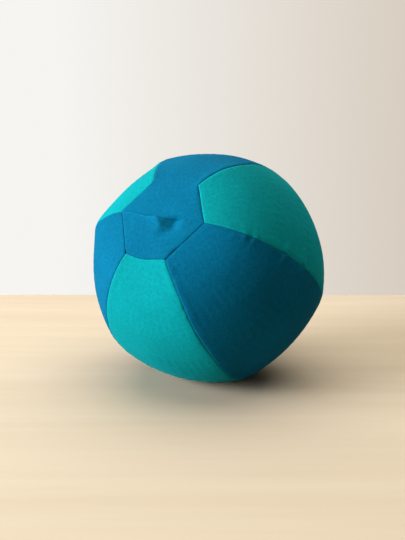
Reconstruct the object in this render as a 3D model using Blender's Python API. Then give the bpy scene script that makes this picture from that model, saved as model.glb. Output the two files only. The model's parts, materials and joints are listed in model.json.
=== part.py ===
"""Cloth-covered balloon ball: a sewn six-gore cover with a hexagonal cap at each end.

The cover is modelled in its own axes, then tilted into the pose in which the ball lies:
  cover Z  runs from the far end cap to the cap that holds the opening,
  cover X  runs along the opening's slit,
  cover -Y points from the slit to the side on which the opening flap is sewn.
The ball lies on the middle of the teal gore at cover -Y, pressed flat where it touches.
All sizes are in metres and all angles in degrees.
"""
import math

import bmesh
import bpy
from mathutils import Vector

# ---------------------------------------------------------------- driving dimensions
SEAM_RADIUS = 0.130          # ball centre to a gore seam, at the ball's equator
GORE_COUNT = 6
CAP_COLATITUDE = 24.2        # cover axis to a corner of a hexagonal cap
POLE_FLATTENING = 0.134      # how much shorter the ball is along its axis, as a fraction
POLE_FLATTENING_SPREAD = 0.5  # radians over which that flattening fades out
GORE_FLATTENING = 0.035      # how far a gore's middle lies inside its seams, at the equator

FABRIC_THICKNESS = 0.0006
HEM_THICKNESS = 0.0008       # the flap is doubled by its lining and hem
LAYER_GAP = 0.0004           # flap above underlap
SEAM_HALF_GAP = 0.0006       # panel edge to seam line
THREAD_RADIUS = 0.0002
HEM_INSET = 0.006            # hem stitching to the flap's free edge
UNDERLAP_WIDTH = 0.030       # how far the lower panel runs on beneath the flap
UNDERLAP_SIDE_INSET = 0.002

BALLOON_THICKNESS = 0.0005
BALLOON_CLEARANCE = 0.0016
BALLOON_TOP_DEPTH = 0.0033   # cap's outside to the balloon below it
DIMPLE_DEPTH = 0.0052        # hollow in the balloon around its tied neck
DIMPLE_RADIUS = 0.014
NECK_BORE_RADIUS = 0.0012
NECK_HALF_WIDTH = 0.0024     # tail, where it leaves the knot
KNOT_RADIUS = 0.0045
KNOT_DEPTH = 0.0034          # cap's outside to the middle of the knot
TAIL_DEPTH = 0.0030          # cap's outside to the middle of the tail
TAIL_START = 0.0052          # from the middle of the knot to where the tail leaves it
TAIL_LENGTH = 0.0205         # from the middle of the knot to the end of the rolled lip
TAIL_HALF_HEIGHT = 0.0007
LIP_HALF_WIDTH = 0.0058

BUMP_HEIGHT = 0.0050         # where the knot lifts the cloth
BUMP_CENTRE_Y = -0.005
BUMP_SPREAD_X = 0.0055
BUMP_SPREAD_Y = 0.009

COVER_TILT = 54.0            # cover axis from the vertical
COVER_HEADING = -30.9        # turn of the tilted cover about the vertical

# ---------------------------------------------------------------- mesh fineness
ROW_STEP = 8.0               # degrees of colatitude between the rows of a gore
FINE_ROW_STEP = 6.0          # the same on the gore on which the ball lies
GORE_COLUMNS = 6
FINE_COLUMNS = 8
CAP_COLUMNS = 14
FLAP_ROWS = 10
HALF_CAP_ROWS = 5
UNDERLAP_ROWS = 5
BALLOON_COLUMNS = 36
BALLOON_ROW_STEP = 10.0
BALLOON_NECK_ROWS = (0.007, 0.014, 0.021, 0.030)  # metres from the axis, around the neck
BALLOON_FIRST_ROW = 1.0      # degrees beyond the cap's corner
BALLOON_BOTTOM_ROW = 0.5     # as a fraction of the cap's apothem
KNOT_ANGLES = (75.0, 50.0, 25.0, 0.0, -25.0, -50.0)
KNOT_SIDES = 10
TAIL_STEPS = 6
THREAD_SIDES = 6
MITRE_LIMIT = 0.5            # smallest cosine by which a bend in a thread is widened
SMALLEST_ROW_STEP = 0.3      # of a full step: a gore's end row closer than this is dropped
GATHERING = 0.65             # how strongly a cap's columns are drawn to its middle
SHARP_ANGLE = 40.0           # edges sharper than this are shaded as edges

# ---------------------------------------------------------------- colours, linear RGB
TEAL = (0.003, 0.370, 0.390)
BLUE = (0.002, 0.160, 0.300)
THREAD_TEAL = (0.003, 0.230, 0.270)
THREAD_BLUE = (0.002, 0.070, 0.140)
LATEX = (0.55, 0.05, 0.06)

HALF_GORE = 180.0 / GORE_COUNT
FULL_HEXAGON = 1.0 - math.cos(math.radians(HALF_GORE))


# ---------------------------------------------------------------- shape of the cover
def seam_point(colatitude):
    """Distance from the cover axis and height of a gore seam."""
    angle = math.radians(colatitude)
    near = math.exp(-(angle / POLE_FLATTENING_SPREAD) ** 2)
    far = math.exp(-((math.pi - angle) / POLE_FLATTENING_SPREAD) ** 2)
    radius = SEAM_RADIUS * (1.0 - POLE_FLATTENING * (near + far))
    return radius * math.sin(angle), radius * math.cos(angle)


CAP_CORNER, CAP_HEIGHT = seam_point(CAP_COLATITUDE)
CAP_APOTHEM = CAP_CORNER * math.cos(math.radians(HALF_GORE))


def section_flattening(height):
    """How far a section's sides are pulled in: straight at the caps, bulging between them."""
    towards_cap = (abs(height) / CAP_HEIGHT) ** 4
    return GORE_FLATTENING + (FULL_HEXAGON - GORE_FLATTENING) * towards_cap


def gore_point(colatitude, across, middle):
    """Point on the outside of a gore; across runs from -HALF_GORE to HALF_GORE."""
    seam, height = seam_point(colatitude)
    edge = math.cos(math.radians(HALF_GORE)) / math.cos(math.radians(across))
    flattening = section_flattening(height)
    radius = seam * (1.0 - flattening * (1.0 - edge) / FULL_HEXAGON)
    turn = math.radians(middle + across)
    return Vector((radius * math.cos(turn), radius * math.sin(turn), height))


def bump(x, y):
    """Height by which the knot lifts the cloth over it."""
    return BUMP_HEIGHT * math.exp(-(x / BUMP_SPREAD_X) ** 2 - ((y - BUMP_CENTRE_Y) / BUMP_SPREAD_Y) ** 2)


DOWN = Vector((0.0, -math.sin(math.radians(COVER_TILT)), -math.cos(math.radians(COVER_TILT))))
LYING_COLATITUDE = 180.0 - COVER_TILT


def lying_height():
    """Height of the ball's centre: the flat takes in a grid cell to each side of the lowest point."""
    reaches = []
    for colatitude in (LYING_COLATITUDE - FINE_ROW_STEP, LYING_COLATITUDE + FINE_ROW_STEP):
        for across in (0.0, 2.0 * HALF_GORE / FINE_COLUMNS):
            reaches.append(gore_point(colatitude, across, -90.0).dot(DOWN))
    return min(reaches)


LYING_HEIGHT = lying_height()


def pressed_flat(point, depth):
    """Push a point back to the plane on which the ball lies; depth is its layer's depth."""
    beyond = point.dot(DOWN) - (LYING_HEIGHT - depth)
    return point - DOWN * max(beyond, 0.0)


def towards_centre(point, depth):
    return point * (1.0 - depth / point.length)


# ---------------------------------------------------------------- building blocks
def clear_scene():
    for thing in list(bpy.data.objects):
        bpy.data.objects.remove(thing, do_unlink=True)


def material(name, colour, roughness):
    finish = bpy.data.materials.new(name)
    finish.use_nodes = True
    shader = finish.node_tree.nodes["Principled BSDF"]
    shader.inputs["Base Color"].default_value = (*colour, 1.0)
    shader.inputs["Roughness"].default_value = roughness
    shader.inputs["Metallic"].default_value = 0.0
    return finish


def add_object(name, bm, finish, parent, origin=Vector((0.0, 0.0, 0.0))):
    """Turn a bmesh in cover axes into an object whose origin is the given point."""
    bmesh.ops.translate(bm, verts=bm.verts, vec=-origin)
    bmesh.ops.recalc_face_normals(bm, faces=bm.faces)
    mesh = bpy.data.meshes.new(name)
    bm.to_mesh(mesh)
    bm.free()
    mesh.shade_smooth()
    mesh.set_sharp_from_angle(angle=math.radians(SHARP_ANGLE))
    mesh.materials.append(finish)
    thing = bpy.data.objects.new(name, mesh)
    bpy.context.collection.objects.link(thing)
    thing.parent = parent
    thing.location = origin
    return thing


def quad_strip(bm, first, second, closed=False):
    """Join two equal rows of vertices with quads."""
    last = len(first) if closed else len(first) - 1
    for i in range(last):
        j = (i + 1) % len(first)
        bm.faces.new((first[i], first[j], second[j], second[i]))


def cloth_solid(outer_rows, inner_rows):
    """Closed thin solid between two grids of points of the same size."""
    bm = bmesh.new()
    outer = [[bm.verts.new(p) for p in row] for row in outer_rows]
    inner = [[bm.verts.new(p) for p in row] for row in inner_rows]
    for k in range(len(outer) - 1):
        quad_strip(bm, outer[k], outer[k + 1])
        quad_strip(bm, inner[k + 1], inner[k])
    quad_strip(bm, inner[0], outer[0])
    quad_strip(bm, outer[-1], inner[-1])
    quad_strip(bm, [row[0] for row in outer], [row[0] for row in inner])
    quad_strip(bm, [row[-1] for row in inner], [row[-1] for row in outer])
    return bm


def ring_solid(rings, closed=False):
    """Closed solid through rings of points, capped at its ends or joined into a loop."""
    bm = bmesh.new()
    rows = [[bm.verts.new(p) for p in ring] for ring in rings]
    for k in range(len(rows) - 1):
        quad_strip(bm, rows[k], rows[k + 1], closed=True)
    if closed:
        quad_strip(bm, rows[-1], rows[0], closed=True)
    else:
        bm.faces.new(rows[0])
        bm.faces.new(rows[-1])
    return bm


def thread_solid(points, closed=False):
    """Tube of thread along a line of points, mitred at each of them."""
    rings = []
    count = len(points)
    for k, point in enumerate(points):
        before = points[k - 1] if closed or k > 0 else points[k] * 2.0 - points[k + 1]
        after = points[(k + 1) % count] if closed or k < count - 1 else points[k] * 2.0 - points[k - 1]
        along = ((point - before).normalized() + (after - point).normalized()).normalized()
        outward = (point - along * point.dot(along)).normalized()
        aside = along.cross(outward)
        mitre = 1.0 / max(along.dot((after - point).normalized()), MITRE_LIMIT)
        ring = []
        for side in range(THREAD_SIDES):
            angle = 2.0 * math.pi * side / THREAD_SIDES
            offset = outward * math.cos(angle) + aside * (mitre * math.sin(angle))
            ring.append(point + offset * THREAD_RADIUS)
        rings.append(ring)
    return ring_solid(rings, closed)


# ---------------------------------------------------------------- gores
def gore_rows(step):
    """Colatitudes of a gore's rows, from the opening cap to the far cap."""
    margin = math.degrees(SEAM_HALF_GAP / SEAM_RADIUS)
    first = CAP_COLATITUDE + margin
    inner = []
    steps = int((90.0 - first) / step)
    for k in range(-steps, steps + 1):
        inner.append(90.0 + k * step)
    if inner[0] - first < SMALLEST_ROW_STEP * step:
        inner = inner[1:-1]
    return [first] + inner + [180.0 - first]


def gore_row(colatitude, middle, columns):
    """Points across a gore, kept clear of the seam lines at both sides."""
    seam = seam_point(colatitude)[0]
    half = HALF_GORE - math.degrees(SEAM_HALF_GAP / seam)
    return [gore_point(colatitude, half * (2.0 * j / columns - 1.0), middle) for j in range(columns + 1)]


def plain_gore(name, middle, finish, parent, step=ROW_STEP, columns=GORE_COLUMNS):
    outer = [gore_row(c, middle, columns) for c in gore_rows(step)]
    inner = [[towards_centre(p, FABRIC_THICKNESS) for p in row] for row in outer]
    outer = [[pressed_flat(p, 0.0) for p in row] for row in outer]
    inner = [[pressed_flat(p, FABRIC_THICKNESS) for p in row] for row in inner]
    return add_object(name, cloth_solid(outer, inner), finish, parent)


def gathered(t):
    """Map -1..1 onto itself with its points drawn towards the middle."""
    return (1.0 - GATHERING) * t + GATHERING * t ** 3


def cap_row(y, half_width, lift):
    """Points across a cap at the given y, raised by the bump of the knot."""
    row = []
    for j in range(CAP_COLUMNS + 1):
        x = half_width * gathered(2.0 * j / CAP_COLUMNS - 1.0)
        row.append(Vector((x, y, CAP_HEIGHT + lift + bump(x, y))))
    return row


def cap_half_width(y):
    return CAP_CORNER - abs(y) / math.sqrt(3.0)


def underlap_gore(name, finish, parent):
    """The gore at cover +Y, cut in one piece with half a cap and the underlap."""
    under_flap = -(HEM_THICKNESS + LAYER_GAP)
    outer = []
    for k in range(UNDERLAP_ROWS):
        y = -UNDERLAP_WIDTH * (1.0 - k / UNDERLAP_ROWS)
        outer.append(cap_row(y, cap_half_width(y) - UNDERLAP_SIDE_INSET, under_flap))
    for k in range(HALF_CAP_ROWS):
        part = k / HALF_CAP_ROWS
        y = CAP_APOTHEM * part
        half_width = cap_half_width(y) - SEAM_HALF_GAP * 2.0 / math.sqrt(3.0)
        outer.append(cap_row(y, half_width, under_flap * (1.0 - part)))
    for colatitude in gore_rows(ROW_STEP):
        outer.append(list(reversed(gore_row(colatitude, 90.0, CAP_COLUMNS))))
    inner = [[towards_centre(p, FABRIC_THICKNESS) for p in row] for row in outer]
    return add_object(name, cloth_solid(outer, inner), finish, parent)


# ---------------------------------------------------------------- caps
HINGE_POINT = Vector((0.0, SEAM_HALF_GAP - CAP_APOTHEM, CAP_HEIGHT))


def opening_flap(name, finish, parent):
    """Half a cap, sewn on three sides; its free edge is the slit's lower side."""
    outer = []
    for k in range(FLAP_ROWS + 1):
        y = HINGE_POINT.y * (1.0 - k / FLAP_ROWS)
        half_width = cap_half_width(y) - SEAM_HALF_GAP * 2.0 / math.sqrt(3.0)
        outer.append(cap_row(y, half_width, 0.0))
    inner = [[towards_centre(p, HEM_THICKNESS) for p in row] for row in outer]
    return add_object(name, cloth_solid(outer, inner), finish, parent, HINGE_POINT)


def flap_hem_thread(name, finish, parent):
    """Line of stitching that holds the hem, just above the flap's outside."""
    y = -HEM_INSET
    half_width = cap_half_width(y) - 4.0 * SEAM_HALF_GAP
    clear = LAYER_GAP + THREAD_RADIUS
    points = []
    for j in range(CAP_COLUMNS + 1):
        x = half_width * gathered(2.0 * j / CAP_COLUMNS - 1.0)
        points.append(Vector((x, y, CAP_HEIGHT + bump(x, y) + clear)))
    return add_object(name, thread_solid(points), finish, parent, HINGE_POINT)


def far_cap(name, finish, parent):
    """Full hexagon that closes the other end."""
    corner = CAP_CORNER - SEAM_HALF_GAP * 2.0 / math.sqrt(3.0)
    rings = []
    for height in (-CAP_HEIGHT, FABRIC_THICKNESS - CAP_HEIGHT):
        turns = [math.radians(60.0 * k) for k in range(GORE_COUNT)]
        rings.append([Vector((corner * math.cos(t), corner * math.sin(t), height)) for t in turns])
    return add_object(name, ring_solid(rings), finish, parent)


# ---------------------------------------------------------------- seam threads
def gore_seam_thread(name, azimuth, finish, parent):
    """Thread of the seam between two gores, halfway through the cloth."""
    end_margin = math.degrees(4.0 * SEAM_HALF_GAP / SEAM_RADIUS)
    colatitudes = gore_rows(ROW_STEP)
    colatitudes[0] += end_margin
    colatitudes[-1] -= end_margin
    points = [gore_point(c, HALF_GORE, azimuth - HALF_GORE) for c in colatitudes]
    points = [towards_centre(p, FABRIC_THICKNESS / 2.0) for p in points]
    return add_object(name, thread_solid(points), finish, parent)


def cap_corner(azimuth, height):
    turn = math.radians(azimuth)
    return Vector((CAP_CORNER * math.cos(turn), CAP_CORNER * math.sin(turn), height))


def cap_seam_points(azimuths, height):
    """Points along the sides of a cap, with two extra ones on each side."""
    points = [cap_corner(azimuths[0], height)]
    for before, after in zip(azimuths, azimuths[1:]):
        start = cap_corner(before, height)
        end = cap_corner(after, height)
        points += [start.lerp(end, 1.0 / 3.0), start.lerp(end, 2.0 / 3.0), end]
    return points


# ---------------------------------------------------------------- balloon
def balloon_profile():
    """Outside of the balloon, from its neck to its far end, as (distance from axis, height)."""
    depth = FABRIC_THICKNESS + BALLOON_CLEARANCE
    top = CAP_HEIGHT - BALLOON_TOP_DEPTH
    profile = []
    for distance in (NECK_BORE_RADIUS + BALLOON_THICKNESS, *BALLOON_NECK_ROWS):
        dimple = DIMPLE_DEPTH * math.exp(-(distance / DIMPLE_RADIUS) ** 2)
        profile.append((distance, top - dimple))
    colatitude = CAP_COLATITUDE + BALLOON_FIRST_ROW
    while colatitude < 180.0 - CAP_COLATITUDE:
        point = towards_centre(gore_point(colatitude, 0.0, -90.0), depth)
        point = pressed_flat(point, depth)
        profile.append((-point.y, min(point.z, top)))
        colatitude += BALLOON_ROW_STEP
    bottom = depth - CAP_HEIGHT
    profile += [(CAP_APOTHEM - depth, bottom), (BALLOON_BOTTOM_ROW * CAP_APOTHEM, bottom)]
    return profile, bottom


def turned(profile, columns):
    rings = []
    for distance, height in profile:
        turns = [2.0 * math.pi * k / columns for k in range(columns)]
        rings.append([Vector((distance * math.cos(t), distance * math.sin(t), height)) for t in turns])
    return rings


def balloon(name, finish, parent):
    """Thin latex shell, open only through the bore of its neck, under the knot."""
    outside, bottom = balloon_profile()
    inside = []
    for distance, height in outside:
        point = towards_centre(Vector((distance, 0.0, height)), BALLOON_THICKNESS)
        inside.append((point.x, point.z))
    inside[0] = (NECK_BORE_RADIUS, inside[0][1])
    bm = bmesh.new()
    shells = []
    for profile in (outside, inside):
        shells.append([[bm.verts.new(p) for p in ring] for ring in turned(profile, BALLOON_COLUMNS)])
    for shell, pole in zip(shells, (bottom, bottom + BALLOON_THICKNESS)):
        for k in range(len(shell) - 1):
            quad_strip(bm, shell[k], shell[k + 1], closed=True)
        end = bm.verts.new((0.0, 0.0, pole))
        for i in range(BALLOON_COLUMNS):
            bm.faces.new((shell[-1][i], shell[-1][(i + 1) % BALLOON_COLUMNS], end))
    quad_strip(bm, shells[0][0], shells[1][0], closed=True)
    return add_object(name, bm, finish, parent)


def balloon_knot(name, finish, parent):
    """The tied neck: a round knot, then the flattened tail that ends in the rolled lip."""
    knot_height = CAP_HEIGHT - KNOT_DEPTH
    tail_height = CAP_HEIGHT - TAIL_DEPTH
    sections = []
    for angle in KNOT_ANGLES:
        size = KNOT_RADIUS * math.cos(math.radians(angle))
        sections.append((KNOT_RADIUS * math.sin(math.radians(angle)), size, size, knot_height))
    for k in range(TAIL_STEPS + 1):
        part = k / TAIL_STEPS
        y = -(TAIL_START + (TAIL_LENGTH - TAIL_START) * part)
        width = NECK_HALF_WIDTH + (LIP_HALF_WIDTH - NECK_HALF_WIDTH) * part ** 2
        sections.append((y, width, TAIL_HALF_HEIGHT, tail_height))
    rings = []
    for y, half_width, half_height, height in sections:
        ring = []
        for side in range(KNOT_SIDES):
            angle = 2.0 * math.pi * side / KNOT_SIDES
            ring.append(Vector((half_width * math.cos(angle), y, height + half_height * math.sin(angle))))
        rings.append(ring)
    return add_object(name, ring_solid(rings), finish, parent)


# ---------------------------------------------------------------- assembly
def build():
    clear_scene()
    teal = material("teal_cotton", TEAL, 0.85)
    blue = material("petrol_blue_cotton", BLUE, 0.85)
    teal_thread = material("teal_thread", THREAD_TEAL, 0.6)
    blue_thread = material("blue_thread", THREAD_BLUE, 0.6)
    latex = material("balloon_latex", LATEX, 0.35)

    cover = bpy.data.objects.new("cover_axes", None)
    bpy.context.collection.objects.link(cover)
    cover.location = (0.0, 0.0, LYING_HEIGHT)
    cover.rotation_euler = (math.radians(COVER_TILT), 0.0, math.radians(COVER_HEADING))

    plain_gore("gore_teal_1", -90.0, teal, cover, FINE_ROW_STEP, FINE_COLUMNS)
    plain_gore("gore_blue_1", -30.0, blue, cover)
    plain_gore("gore_teal_2", 30.0, teal, cover)
    underlap_gore("gore_blue_2_with_underlap", blue, cover)
    plain_gore("gore_teal_3", 150.0, teal, cover)
    plain_gore("gore_blue_3", 210.0, blue, cover)
    far_cap("far_end_cap", blue, cover)

    for k in range(GORE_COUNT):
        gore_seam_thread(f"gore_seam_thread_{k + 1}", -60.0 + 60.0 * k, teal_thread, cover)
    thread_height = CAP_HEIGHT - FABRIC_THICKNESS / 2.0
    opening_sides = [120.0, 180.0, 240.0, 300.0, 360.0, 420.0]
    opening_line = cap_seam_points(opening_sides, thread_height)
    add_object("opening_seam_thread", thread_solid(opening_line), blue_thread, cover)
    far_sides = [60.0 * k for k in range(GORE_COUNT + 1)]
    far_line = cap_seam_points(far_sides, -thread_height)[:-1]
    add_object("far_cap_seam_thread", thread_solid(far_line, closed=True), blue_thread, cover)

    opening_flap("opening_flap", blue, cover)
    flap_hem_thread("flap_hem_thread", blue_thread, cover)
    balloon("balloon", latex, cover)
    balloon_knot("balloon_knot", latex, cover)


build()
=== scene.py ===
"""Looks of the cloth-covered balloon ball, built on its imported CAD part.

Everything about the cover is worked out in the cover's own axes and then turned into the row frame:
  cover Z  runs from the far end cap to the cap that holds the opening,
  cover X  runs along the slit of the opening,
  cover -Y points from the slit to the flap's sewn side.
A panel of the cover is a grid of rows and columns, and its columns run from -1 to 1 across the panel.
Sizes are in metres and angles in degrees.
"""
import json
import math

import bpy
import numpy as np
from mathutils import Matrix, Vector
from mathutils.kdtree import KDTree


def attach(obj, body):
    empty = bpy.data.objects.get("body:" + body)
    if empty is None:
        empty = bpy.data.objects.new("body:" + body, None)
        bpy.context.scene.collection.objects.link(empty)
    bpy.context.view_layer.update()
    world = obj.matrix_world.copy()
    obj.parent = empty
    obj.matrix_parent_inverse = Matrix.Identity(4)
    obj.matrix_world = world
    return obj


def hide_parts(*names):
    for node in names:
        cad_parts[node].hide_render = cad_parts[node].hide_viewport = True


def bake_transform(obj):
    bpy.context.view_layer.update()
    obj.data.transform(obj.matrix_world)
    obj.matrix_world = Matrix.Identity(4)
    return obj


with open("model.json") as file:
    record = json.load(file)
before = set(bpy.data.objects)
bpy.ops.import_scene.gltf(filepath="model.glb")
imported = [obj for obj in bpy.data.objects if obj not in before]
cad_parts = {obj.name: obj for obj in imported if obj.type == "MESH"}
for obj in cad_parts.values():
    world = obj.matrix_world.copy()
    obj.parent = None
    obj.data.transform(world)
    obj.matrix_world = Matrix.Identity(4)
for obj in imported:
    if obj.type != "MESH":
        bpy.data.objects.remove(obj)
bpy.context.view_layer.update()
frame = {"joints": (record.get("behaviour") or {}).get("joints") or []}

# ---- the cover, as in the CAD part
SEAM_RADIUS = 0.130
GORE_COUNT = 6
CAP_COLATITUDE = 24.2
POLE_FLATTENING = 0.134
POLE_FLATTENING_SPREAD = 0.5
GORE_FLATTENING = 0.035
HALF_GORE = 180 / GORE_COUNT
COS_HALF = math.cos(math.radians(HALF_GORE))  # also turns a length on a cap's row into distance from its side
TAN_HALF = math.tan(math.radians(HALF_GORE))
FULL_HEXAGON = 1 - COS_HALF

CLOTH = 0.00040  # thickness of one layer
HEM_CLOTH = 0.00080  # the flap is doubled by its hem and lining
UNDERLAP = 0.028  # width of the lower layer beneath the flap
FLANGE = 0.0010  # how far a seam allowance turns in
SEAM_LEAN = 0.00006  # half the gap between two turned-in allowances
GROOVE_DEPTH = 0.00105
GROOVE_REACH = 0.00060
LEAN_REACH = 0.0012  # how near a seam the cloth leans to the seam's own normal
ALLOWANCE_WIDTH = 0.0065  # a seam allowance is pressed flat under one of its two panels
ALLOWANCE_RISE = 0.00013
STITCH = 0.0026  # length of a stitch
THREAD_RADIUS = 0.00013

MM = 0.001
LEFT, RIGHT = 0, 1  # a panel's sides; minus a side is also the index of that side's column
SEAM_FADE = 7 * MM  # puckers fade towards the ends of a gore seam,
CAP_FADE = 5 * MM  # and towards the corners of a cap
CAP_RISE = 0.7 * MM  # how far a cap bulges between its sides
FLOOR_SOFTNESS = 0.5 * MM


def seam_profile(colatitude):
    """Distance from the cover axis and height of a gore seam."""
    angle = np.radians(colatitude)
    near = np.exp(-((angle / POLE_FLATTENING_SPREAD) ** 2))
    far = np.exp(-(((math.pi - angle) / POLE_FLATTENING_SPREAD) ** 2))
    radius = SEAM_RADIUS * (1 - POLE_FLATTENING * (near + far))
    return radius * np.sin(angle), radius * np.cos(angle)


CAP_CORNER, CAP_HEIGHT = (float(v) for v in seam_profile(CAP_COLATITUDE))
CAP_APOTHEM = CAP_CORNER * COS_HALF


def gore_surface(colatitude, column, middle):
    """Points on a gore's outside; column runs from -1 to 1 between its seams."""
    seam, height = seam_profile(colatitude)
    across = np.arctan(column * TAN_HALF)
    edge = COS_HALF / np.cos(across)
    flattening = GORE_FLATTENING + (FULL_HEXAGON - GORE_FLATTENING) * (np.abs(height) / CAP_HEIGHT) ** 4
    radius = seam * (1 - flattening * (1 - edge) / FULL_HEXAGON)
    turn = math.radians(middle) + across
    height = np.broadcast_to(height, radius.shape)
    return np.stack([radius * np.cos(turn), radius * np.sin(turn), height], axis=-1)


def half_width(y):
    return CAP_CORNER - np.abs(y) / math.sqrt(3)


# ---- cover axes in the row frame
joints = {joint["name"]: joint for joint in frame["joints"]}
CENTRE = np.array(joints["balloon_turn"]["pos_m"], float)
COVER_Z = np.array(joints["balloon_turn"]["axis"], float)
COVER_Z /= np.linalg.norm(COVER_Z)
COVER_X = np.array(joints["flap_lift"]["axis"], float)
COVER_X /= np.linalg.norm(COVER_X)
COVER_Y = np.cross(COVER_Z, COVER_X)
TO_ROW = np.stack([COVER_X, COVER_Y, COVER_Z])


def to_row(points):
    return points @ TO_ROW + CENTRE


def from_row(points):
    return (points - CENTRE) @ TO_ROW.T


# ---- vector helpers on grids
def unit(v):
    return v / np.maximum(np.linalg.norm(v, axis=-1, keepdims=True), 1e-12)


def normals(grid):
    """Unit normals of a grid of points, pointing away from the cover's centre."""
    n = unit(np.cross(np.gradient(grid, axis=0), np.gradient(grid, axis=1)))
    flip = np.sign(np.sum(n * grid, axis=-1).mean())
    return n * flip


def lengths_along(grid, axis):
    """Running length along the given axis of a grid, starting from nought."""
    steps = np.linalg.norm(np.diff(grid, axis=axis), axis=-1)
    zero = np.zeros_like(np.take(steps, [0], axis=axis))
    return np.concatenate([zero, np.cumsum(steps, axis=axis)], axis=axis)


def from_sides(width):
    """Distances from a grid's left and right side, from the running lengths across it."""
    return width, width[:, -1:] - width


def about_middle(width):
    return width - width[:, [width.shape[1] // 2]]


def around(azimuth):
    """Unit vector square to the cover's radius and axis at an azimuth."""
    turn = math.radians(azimuth)
    return np.array([-math.sin(turn), math.cos(turn), 0])


def smooth(t):
    t = np.clip(t, 0, 1)
    return t * t * (3 - 2 * t)


def bell(t):
    return np.exp(-(t ** 2))


# ---- panels: where their rows and columns lie
FINE = np.array([0, 0.22, 0.48, 0.85, 1.4, 2.3]) * MM  # distances from a seam that get their own rows
CROSS_CELLS = 56
GORE_STEP = 1.9 * MM  # spacing of the rows amid a gore
TOP_STEP = 1.8 * MM
FLAP_STEP = 1.1 * MM


def spaced(total, step):
    """Distances from 0 to total: fine near both ends, even in the middle."""
    count = max(int(round((total - 2 * FINE[-1]) / step)), 2)
    middle = np.linspace(FINE[-1], total - FINE[-1], count + 1)
    return np.concatenate([FINE[:-1], middle, (total - FINE[:-1])[::-1]])


def columns_for(width):
    """Columns from -1 to 1 for rows of the given widths, fine near both seams."""
    width = np.asarray(width)[:, None]
    near = np.minimum(FINE[None, :], width * FINE[None, :] / (FINE[-1] * 8))
    last = near[:, -1:]
    inner = np.linspace(0, 1, CROSS_CELLS + 1)[None, 1:-1]
    middle = last + (width - 2 * last) * inner
    distance = np.concatenate([near, middle, width - near[:, ::-1]], axis=1)
    return 2 * distance / width - 1


def gore_colatitudes():
    """Colatitudes of a gore's rows, and how far along its middle line they lie."""
    dense = np.linspace(CAP_COLATITUDE, 180 - CAP_COLATITUDE, 2001)
    run = lengths_along(gore_surface(dense, np.zeros_like(dense), -90), 0)
    rows = spaced(run[-1], GORE_STEP)
    return np.interp(rows, run, dense), rows


def gore_columns(colatitude, middle):
    """Width of a gore at each colatitude."""
    return lengths_along(gore_surface(colatitude[:, None], np.linspace(-1, 1, 9)[None, :], middle), 1)[:, -1]


def gore_end_normal(column, middle, sign):
    """Normal of a gore where it meets a cap; sign is 1 at the opening cap and -1 at the far one."""
    start = 90 - sign * (90 - CAP_COLATITUDE)
    here = gore_surface(np.full_like(column, start), column, middle)
    onward = gore_surface(np.full_like(column, start + sign * 0.4), column, middle)
    aside = gore_surface(np.full_like(column, start), column + 0.01, middle)
    n = unit(np.cross(onward - here, aside - here))
    return n * np.sign(np.sum(n * here, axis=-1, keepdims=True))


# ---- how the cloth lies
rng = np.random.default_rng(11)


def gathers(length, count, strength, extra=()):
    """Small puckers along a seam: place, width, height and reach of each."""
    place = np.sort(rng.uniform(0, length, count))
    width = rng.uniform(1.4, 3.4, count) * MM
    height = strength * rng.uniform(0.25, 1, count) * rng.choice([-1, 1], count)
    reach = rng.uniform(3, 8, count) * MM
    table = np.stack([place, width, height, reach], axis=1)
    if len(extra):
        table = np.concatenate([table, np.array(extra, float) * MM], axis=0)
    return table


def pucker(table, along, away):
    """Height of the puckers at a distance along a seam and a distance away from it."""
    total = np.zeros(np.broadcast(along, away).shape)
    for place, width, height, reach in table:
        wave = height * bell((along - place) / width)
        total += wave * np.exp(-((away / reach) ** 1.5)) * (1 - np.exp(-away / (0.9 * MM)))
    return total


GORE_SEAM_LENGTH = 0.298
HEX_SIDE = CAP_CORNER
# the strongest puckers on the seam between gore_blue_1 and gore_teal_2: place, width, height, reach in mm
STRONG = [
    (43, 2.2, 0.8, 6), (48.5, 2.2, -0.6, 5), (53.5, 2.2, 0.8, 6),
    (90, 2.8, 2.4, 10), (96, 2.8, -1.3, 9),
    (116, 3, 2.6, 14), (122.5, 2.8, -1.4, 12),
]
seam_gathers = {}
for azimuth in range(-60, 300, 60):
    strong = STRONG if azimuth == 0 else ()
    both = []
    for side in (LEFT, RIGHT):
        both.append(gathers(GORE_SEAM_LENGTH, 46, 0.26 * MM, strong))
        strong = [(p, w, 0.7 * h, r) for p, w, h, r in strong]
    seam_gathers[azimuth] = both
cap_gathers = {(sign, side): gathers(HEX_SIDE, 7, 0.16 * MM) for sign in (1, -1) for side in range(6)}


def gape(node, along, away):
    """Extra depth where the flap's side seams gape near their lower corners."""
    gaps = {"right": [(10.5, 4.5, 1.2), (0.8, 1.6, 1.3)], "left": [(2.5, 2.4, 1.4)]}[node]
    total = sum(depth * bell((along / MM - place) / spread) for place, spread, depth in gaps)
    return total * MM * np.exp(-away / (0.75 * MM))


class Seams:
    """The sewn sides of a panel: how much each draws the cloth in, and the normal that it gives it."""

    def __init__(self, grid):
        self.shape = grid.shape
        self.dips, self.leans, self.aims = [], [], []

    def add(self, distance, aim, shown=1):
        self.dips.append(np.exp(-distance / GROOVE_REACH) * shown)
        self.leans.append(np.exp(-distance / LEAN_REACH) * shown)
        self.aims.append(np.broadcast_to(aim, self.shape))

    def fold(self, grid, n):
        """Dip the grid towards its seams along the seams' own normals."""
        for lean, aim in zip(self.leans, self.aims):
            n = unit(n * (1 - lean[..., None]) + aim * lean[..., None])
        dip = 1 - np.prod([1 - d for d in self.dips], axis=0)
        return grid - n * (GROOVE_DEPTH * dip)[..., None], n


def allowance(distance):
    """Slight step over the seam allowance that is pressed under one of the two panels."""
    inner = 1 - smooth((distance - ALLOWANCE_WIDTH) / (2.4 * MM))
    return ALLOWANCE_RISE * inner * smooth(distance / (2.5 * MM))


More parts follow.
